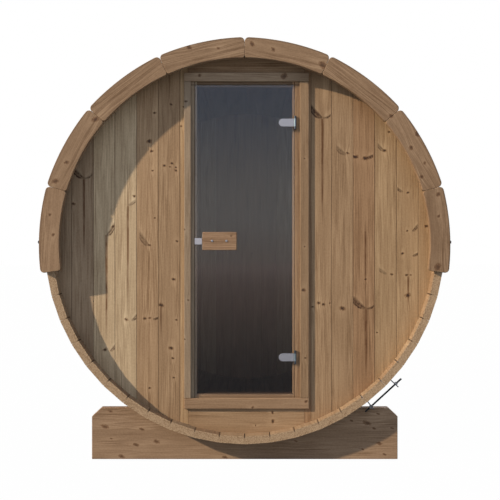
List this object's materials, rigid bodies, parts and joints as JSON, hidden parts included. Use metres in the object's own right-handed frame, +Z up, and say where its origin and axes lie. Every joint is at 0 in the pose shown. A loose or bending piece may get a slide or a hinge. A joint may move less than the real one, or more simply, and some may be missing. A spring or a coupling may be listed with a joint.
{
  "type": "barrel sauna",
  "caption": "Round wooden sauna hut lying on two saddles, with a framed glass door in its front wall, curved trims over the stave ends and steel bands.",
  "frame": {"origin": "on the ground under the middle of the barrel", "axes": "+X to the right seen from the front, +Y from the front towards the back, along the barrel, +Z up"},
  "size_m": [2.2334, 2.056, 2.3119],
  "materials": {
    "frame_timber": "planed timber frame",
    "handle_timber": "small planed timber block",
    "saddle_timber": "thick timber board",
    "stave_timber": "heat-treated timber, oiled, along the grain",
    "trim_timber": "thick planed timber with rounded edges",
    "wall_timber": "heat-treated timber boards with knots",
    "tinted_glass": "clear toughened glass, lightly tinted",
    "band_steel": "thin rolled strip",
    "dark_steel": "dark zinc, satin",
    "catch_block": "dark holder with a magnet",
    "satin_steel": "satin"
  },
  "bodies": {
    "barrel": {"back_band": "band_steel", "back_band_tightener": "dark_steel", "back_saddle": "saddle_timber", "back_trims": "trim_timber", "back_wall": "wall_timber", "door_casing_rails": "frame_timber", "door_casing_stiles": "frame_timber", "door_catch": "catch_block", "door_jamb_head": "frame_timber", "door_jamb_left": "frame_timber", "door_jamb_right": "frame_timber", "door_jamb_sill": "frame_timber", "door_post_left": "wall_timber", "door_post_right": "wall_timber", "front_band": "band_steel", "front_band_tightener": "dark_steel", "front_saddle": "saddle_timber", "front_trim_1": "trim_timber", "front_trim_2": "trim_timber", "front_trim_3": "trim_timber", "front_trim_4": "trim_timber", "front_trim_5": "trim_timber", "front_trim_6": "trim_timber", "front_trim_7": "trim_timber", "front_trim_8": "trim_timber", "front_wall_left": "wall_timber", "front_wall_over_door": "wall_timber", "front_wall_right": "wall_timber", "front_wall_under_door": "wall_timber", "hinge_bracket_lower": "satin_steel", "hinge_bracket_upper": "satin_steel", "shell_staves_1": "stave_timber", "shell_staves_2": "stave_timber", "shell_staves_3": "stave_timber", "shell_staves_4": "stave_timber", "shell_staves_5": "stave_timber", "shell_staves_6": "stave_timber", "trim_side_bolts": "dark_steel"},
    "door": {"door_glass": "tinted_glass", "door_handle_outside": "handle_timber", "door_handle_inside": "handle_timber", "door_handle_bolts": "satin_steel", "door_latch_plate": "satin_steel", "hinge_leaf_upper": "satin_steel", "hinge_leaf_lower": "satin_steel"}
  },
  "joints": [
    {"name": "door_hinge", "type": "hinge", "parent": "barrel", "child": "door", "pos_m": [0.2773, -0.9465, 1.1933], "axis": [0, 0, 1], "range_deg": [0, 110]}
  ]
}
